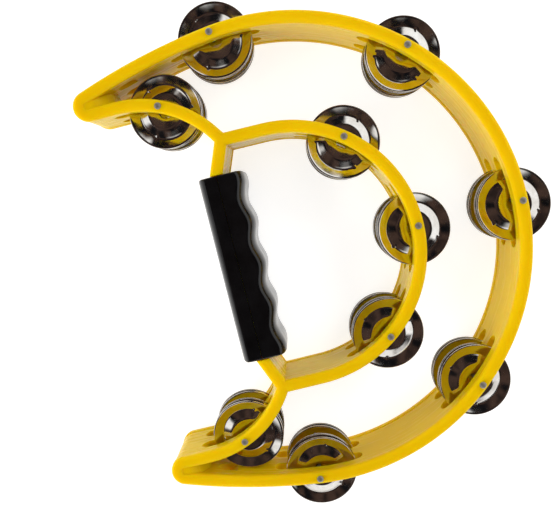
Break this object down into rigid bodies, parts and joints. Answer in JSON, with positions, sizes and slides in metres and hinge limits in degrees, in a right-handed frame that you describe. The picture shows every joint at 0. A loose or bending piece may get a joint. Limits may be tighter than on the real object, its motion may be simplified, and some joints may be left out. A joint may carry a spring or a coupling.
{
  "type": "tambourine",
  "caption": "Hand-held half-moon tambourine: moulded crescent frame with an inner arc, a contoured grip and pairs of loose metal jingles on pins.",
  "frame": {"origin": "centre of the whole outline, on the surface that the back rim rests on", "axes": "+X from the handle towards the middle of the crescent, +Y along the handle, +Z through the depth of the frame from the back rim to the front rim"},
  "size_m": [0.2458, 0.2966, 0.0466],
  "materials": {
    "frame_plastic": "glossy moulded yellow plastic",
    "grip_rubber": "smooth black rubber with a soft gloss",
    "pin_steel": "polished domed steel pin",
    "jingle_nickel": "mirror-bright stamped and nickel-plated steel"
  },
  "bodies": {
    "frame": {"frame": "frame_plastic", "grip_palm_half": "grip_rubber", "grip_finger_half": "grip_rubber", "pin_outer_1": "pin_steel", "pin_outer_2": "pin_steel", "pin_outer_3": "pin_steel", "pin_outer_4": "pin_steel", "pin_outer_5": "pin_steel", "pin_inner_1": "pin_steel", "pin_inner_2": "pin_steel", "pin_inner_3": "pin_steel", "pin_inner_4": "pin_steel", "pin_inner_5": "pin_steel"},
    "jingle_outer_1_a": {"jingle_outer_1_a": "jingle_nickel"},
    "jingle_outer_1_b": {"jingle_outer_1_b": "jingle_nickel"},
    "jingle_outer_1_c": {"jingle_outer_1_c": "jingle_nickel"},
    "jingle_outer_1_d": {"jingle_outer_1_d": "jingle_nickel"},
    "jingle_outer_2_a": {"jingle_outer_2_a": "jingle_nickel"},
    "jingle_outer_2_b": {"jingle_outer_2_b": "jingle_nickel"},
    "jingle_outer_2_c": {"jingle_outer_2_c": "jingle_nickel"},
    "jingle_outer_2_d": {"jingle_outer_2_d": "jingle_nickel"},
    "jingle_outer_3_a": {"jingle_outer_3_a": "jingle_nickel"},
    "jingle_outer_3_b": {"jingle_outer_3_b": "jingle_nickel"},
    "jingle_outer_3_c": {"jingle_outer_3_c": "jingle_nickel"},
    "jingle_outer_3_d": {"jingle_outer_3_d": "jingle_nickel"},
    "jingle_outer_4_a": {"jingle_outer_4_a": "jingle_nickel"},
    "jingle_outer_4_b": {"jingle_outer_4_b": "jingle_nickel"},
    "jingle_outer_4_c": {"jingle_outer_4_c": "jingle_nickel"},
    "jingle_outer_4_d": {"jingle_outer_4_d": "jingle_nickel"},
    "jingle_outer_5_a": {"jingle_outer_5_a": "jingle_nickel"},
    "jingle_outer_5_b": {"jingle_outer_5_b": "jingle_nickel"},
    "jingle_outer_5_c": {"jingle_outer_5_c": "jingle_nickel"},
    "jingle_outer_5_d": {"jingle_outer_5_d": "jingle_nickel"},
    "jingle_inner_1_a": {"jingle_inner_1_a": "jingle_nickel"},
    "jingle_inner_1_b": {"jingle_inner_1_b": "jingle_nickel"},
    "jingle_inner_1_c": {"jingle_inner_1_c": "jingle_nickel"},
    "jingle_inner_1_d": {"jingle_inner_1_d": "jingle_nickel"},
    "jingle_inner_2_a": {"jingle_inner_2_a": "jingle_nickel"},
    "jingle_inner_2_b": {"jingle_inner_2_b": "jingle_nickel"},
    "jingle_inner_2_c": {"jingle_inner_2_c": "jingle_nickel"},
    "jingle_inner_2_d": {"jingle_inner_2_d": "jingle_nickel"},
    "jingle_inner_3_a": {"jingle_inner_3_a": "jingle_nickel"},
    "jingle_inner_3_b": {"jingle_inner_3_b": "jingle_nickel"},
    "jingle_inner_3_c": {"jingle_inner_3_c": "jingle_nickel"},
    "jingle_inner_3_d": {"jingle_inner_3_d": "jingle_nickel"},
    "jingle_inner_4_a": {"jingle_inner_4_a": "jingle_nickel"},
    "jingle_inner_4_b": {"jingle_inner_4_b": "jingle_nickel"},
    "jingle_inner_4_c": {"jingle_inner_4_c": "jingle_nickel"},
    "jingle_inner_4_d": {"jingle_inner_4_d": "jingle_nickel"},
    "jingle_inner_5_a": {"jingle_inner_5_a": "jingle_nickel"},
    "jingle_inner_5_b": {"jingle_inner_5_b": "jingle_nickel"},
    "jingle_inner_5_c": {"jingle_inner_5_c": "jingle_nickel"},
    "jingle_inner_5_d": {"jingle_inner_5_d": "jingle_nickel"}
  },
  "joints": [
    {"name": "spin_outer_1_a", "type": "hinge", "parent": "frame", "child": "jingle_outer_1_a", "pos_m": [-0.03884, 0.12745, 0.0312], "axis": [0, -0.0506, 0.9987], "continuous": true},
    {"name": "spin_outer_1_b", "type": "hinge", "parent": "frame", "child": "jingle_outer_1_b", "pos_m": [-0.03884, 0.12751, 0.03], "axis": [0.0047, -0.0385, 0.9992], "continuous": true},
    {"name": "spin_outer_1_c", "type": "hinge", "parent": "frame", "child": "jingle_outer_1_c", "pos_m": [-0.03882, 0.1275, 0.015], "axis": [0.0225, 0.0316, 0.9992], "continuous": true},
    {"name": "spin_outer_1_d", "type": "hinge", "parent": "frame", "child": "jingle_outer_1_d", "pos_m": [-0.03886, 0.12747, 0.0138], "axis": [0.035, 0.0279, 0.999], "continuous": true},
    {"name": "spin_outer_2_a", "type": "hinge", "parent": "frame", "child": "jingle_outer_2_a", "pos_m": [0.06, 0.09475, 0.0312], "axis": [-0.0447, 0.0031, 0.999], "continuous": true},
    {"name": "spin_outer_2_b", "type": "hinge", "parent": "frame", "child": "jingle_outer_2_b", "pos_m": [0.06006, 0.09475, 0.03], "axis": [-0.0472, -0.0097, 0.9988], "continuous": true},
    {"name": "spin_outer_2_c", "type": "hinge", "parent": "frame", "child": "jingle_outer_2_c", "pos_m": [0.06005, 0.09473, 0.015], "axis": [0.0413, -0.0247, 0.9988], "continuous": true},
    {"name": "spin_outer_2_d", "type": "hinge", "parent": "frame", "child": "jingle_outer_2_d", "pos_m": [0.06001, 0.09476, 0.0138], "axis": [0.0284, -0.0233, 0.9993], "continuous": true},
    {"name": "spin_outer_3_a", "type": "hinge", "parent": "frame", "child": "jingle_outer_3_a", "pos_m": [0.10217, -0.00067, 0.0312], "axis": [-0.0052, 0.0364, 0.9993], "continuous": true},
    {"name": "spin_outer_3_b", "type": "hinge", "parent": "frame", "child": "jingle_outer_3_b", "pos_m": [0.10217, -0.00072, 0.03], "axis": [-0.0049, 0.0494, 0.9988], "continuous": true},
    {"name": "spin_outer_3_c", "type": "hinge", "parent": "frame", "child": "jingle_outer_3_c", "pos_m": [0.10215, -0.00071, 0.015], "axis": [-0.0298, -0.0397, 0.9988], "continuous": true},
    {"name": "spin_outer_3_d", "type": "hinge", "parent": "frame", "child": "jingle_outer_3_d", "pos_m": [0.10218, -0.00067, 0.0138], "axis": [-0.0168, -0.0389, 0.9991], "continuous": true},
    {"name": "spin_outer_4_a", "type": "hinge", "parent": "frame", "child": "jingle_outer_4_a", "pos_m": [0.06005, -0.09484, 0.0312], "axis": [0.0386, 0.0173, 0.9991], "continuous": true},
    {"name": "spin_outer_4_b", "type": "hinge", "parent": "frame", "child": "jingle_outer_4_b", "pos_m": [0.06001, -0.09486, 0.03], "axis": [0.0406, 0.0045, 0.9992], "continuous": true},
    {"name": "spin_outer_4_c", "type": "hinge", "parent": "frame", "child": "jingle_outer_4_c", "pos_m": [0.06001, -0.09484, 0.015], "axis": [-0.033, 0.0241, 0.9992], "continuous": true},
    {"name": "spin_outer_4_d", "type": "hinge", "parent": "frame", "child": "jingle_outer_4_d", "pos_m": [0.06006, -0.09487, 0.0138], "axis": [-0.0456, 0.021, 0.9987], "continuous": true},
    {"name": "spin_outer_5_a", "type": "hinge", "parent": "frame", "child": "jingle_outer_5_a", "pos_m": [-0.03882, -0.12749, 0.0312], "axis": [0.0194, -0.0463, 0.9987], "continuous": true},
    {"name": "spin_outer_5_b", "type": "hinge", "parent": "frame", "child": "jingle_outer_5_b", "pos_m": [-0.03884, -0.12744, 0.03], "axis": [0.0152, -0.034, 0.9993], "continuous": true},
    {"name": "spin_outer_5_c", "type": "hinge", "parent": "frame", "child": "jingle_outer_5_c", "pos_m": [-0.03883, -0.12744, 0.015], "axis": [0.0118, 0.0354, 0.9993], "continuous": true},
    {"name": "spin_outer_5_d", "type": "hinge", "parent": "frame", "child": "jingle_outer_5_d", "pos_m": [-0.03885, -0.12749, 0.0138], "axis": [0.0237, 0.0406, 0.9989], "continuous": true},
    {"name": "spin_inner_1_a", "type": "hinge", "parent": "frame", "child": "jingle_inner_1_a", "pos_m": [-0.07567, 0.09636, 0.0312], "axis": [-0.0449, -0.0139, 0.9989], "continuous": true},
    {"name": "spin_inner_1_b", "type": "hinge", "parent": "frame", "child": "jingle_inner_1_b", "pos_m": [-0.07562, 0.09638, 0.03], "axis": [-0.0386, -0.0254, 0.9989], "continuous": true},
    {"name": "spin_inner_1_c", "type": "hinge", "parent": "frame", "child": "jingle_inner_1_c", "pos_m": [-0.07561, 0.09637, 0.015], "axis": [0.0456, -0.0074, 0.9989], "continuous": true},
    {"name": "spin_inner_1_d", "type": "hinge", "parent": "frame", "child": "jingle_inner_1_d", "pos_m": [-0.07566, 0.09638, 0.0138], "axis": [0.0348, -0.0146, 0.9993], "continuous": true},
    {"name": "spin_inner_2_a", "type": "hinge", "parent": "frame", "child": "jingle_inner_2_a", "pos_m": [0.01731, 0.05579, 0.0312], "axis": [-0.0158, 0.0343, 0.9993], "continuous": true},
    {"name": "spin_inner_2_b", "type": "hinge", "parent": "frame", "child": "jingle_inner_2_b", "pos_m": [0.01734, 0.05575, 0.03], "axis": [-0.0239, 0.0444, 0.9987], "continuous": true},
    {"name": "spin_inner_2_c", "type": "hinge", "parent": "frame", "child": "jingle_inner_2_c", "pos_m": [0.01731, 0.05574, 0.015], "axis": [-0.0124, -0.0489, 0.9987], "continuous": true},
    {"name": "spin_inner_2_d", "type": "hinge", "parent": "frame", "child": "jingle_inner_2_d", "pos_m": [0.01732, 0.0558, 0.0138], "axis": [-0.003, -0.0399, 0.9992], "continuous": true},
    {"name": "spin_inner_3_a", "type": "hinge", "parent": "frame", "child": "jingle_inner_3_a", "pos_m": [0.04498, -0.00096, 0.0312], "axis": [0.0292, 0.0274, 0.9992], "continuous": true},
    {"name": "spin_inner_3_b", "type": "hinge", "parent": "frame", "child": "jingle_inner_3_b", "pos_m": [0.04494, -0.00099, 0.03], "axis": [0.039, 0.0188, 0.9991], "continuous": true},
    {"name": "spin_inner_3_c", "type": "hinge", "parent": "frame", "child": "jingle_inner_3_c", "pos_m": [0.04494, -0.00097, 0.015], "axis": [-0.0414, 0.0124, 0.9991], "continuous": true},
    {"name": "spin_inner_3_d", "type": "hinge", "parent": "frame", "child": "jingle_inner_3_d", "pos_m": [0.04499, -0.00098, 0.0138], "axis": [-0.0491, 0.0019, 0.9988], "continuous": true},
    {"name": "spin_inner_4_a", "type": "hinge", "parent": "frame", "child": "jingle_inner_4_a", "pos_m": [0.01734, -0.05618, 0.0312], "axis": [0.0349, -0.0346, 0.9988], "continuous": true},
    {"name": "spin_inner_4_b", "type": "hinge", "parent": "frame", "child": "jingle_inner_4_b", "pos_m": [0.01731, -0.05614, 0.03], "axis": [0.0238, -0.0279, 0.9993], "continuous": true},
    {"name": "spin_inner_4_c", "type": "hinge", "parent": "frame", "child": "jingle_inner_4_c", "pos_m": [0.01732, -0.05613, 0.015], "axis": [0.0013, 0.0366, 0.9993], "continuous": true},
    {"name": "spin_inner_4_d", "type": "hinge", "parent": "frame", "child": "jingle_inner_4_d", "pos_m": [0.01732, -0.05618, 0.0138], "axis": [0.007, 0.0483, 0.9988], "continuous": true},
    {"name": "spin_inner_5_a", "type": "hinge", "parent": "frame", "child": "jingle_inner_5_a", "pos_m": [-0.07566, -0.09637, 0.0312], "axis": [-0.0378, -0.0308, 0.9988], "continuous": true},
    {"name": "spin_inner_5_b", "type": "hinge", "parent": "frame", "child": "jingle_inner_5_b", "pos_m": [-0.07562, -0.09633, 0.03], "axis": [-0.0257, -0.0356, 0.999], "continuous": true},
    {"name": "spin_inner_5_c", "type": "hinge", "parent": "frame", "child": "jingle_inner_5_c", "pos_m": [-0.07561, -0.09634, 0.015], "axis": [0.043, 0.0089, 0.999], "continuous": true},
    {"name": "spin_inner_5_d", "type": "hinge", "parent": "frame", "child": "jingle_inner_5_d", "pos_m": [-0.07566, -0.09635, 0.0138], "axis": [0.0393, -0.0036, 0.9992], "continuous": true}
  ]
}
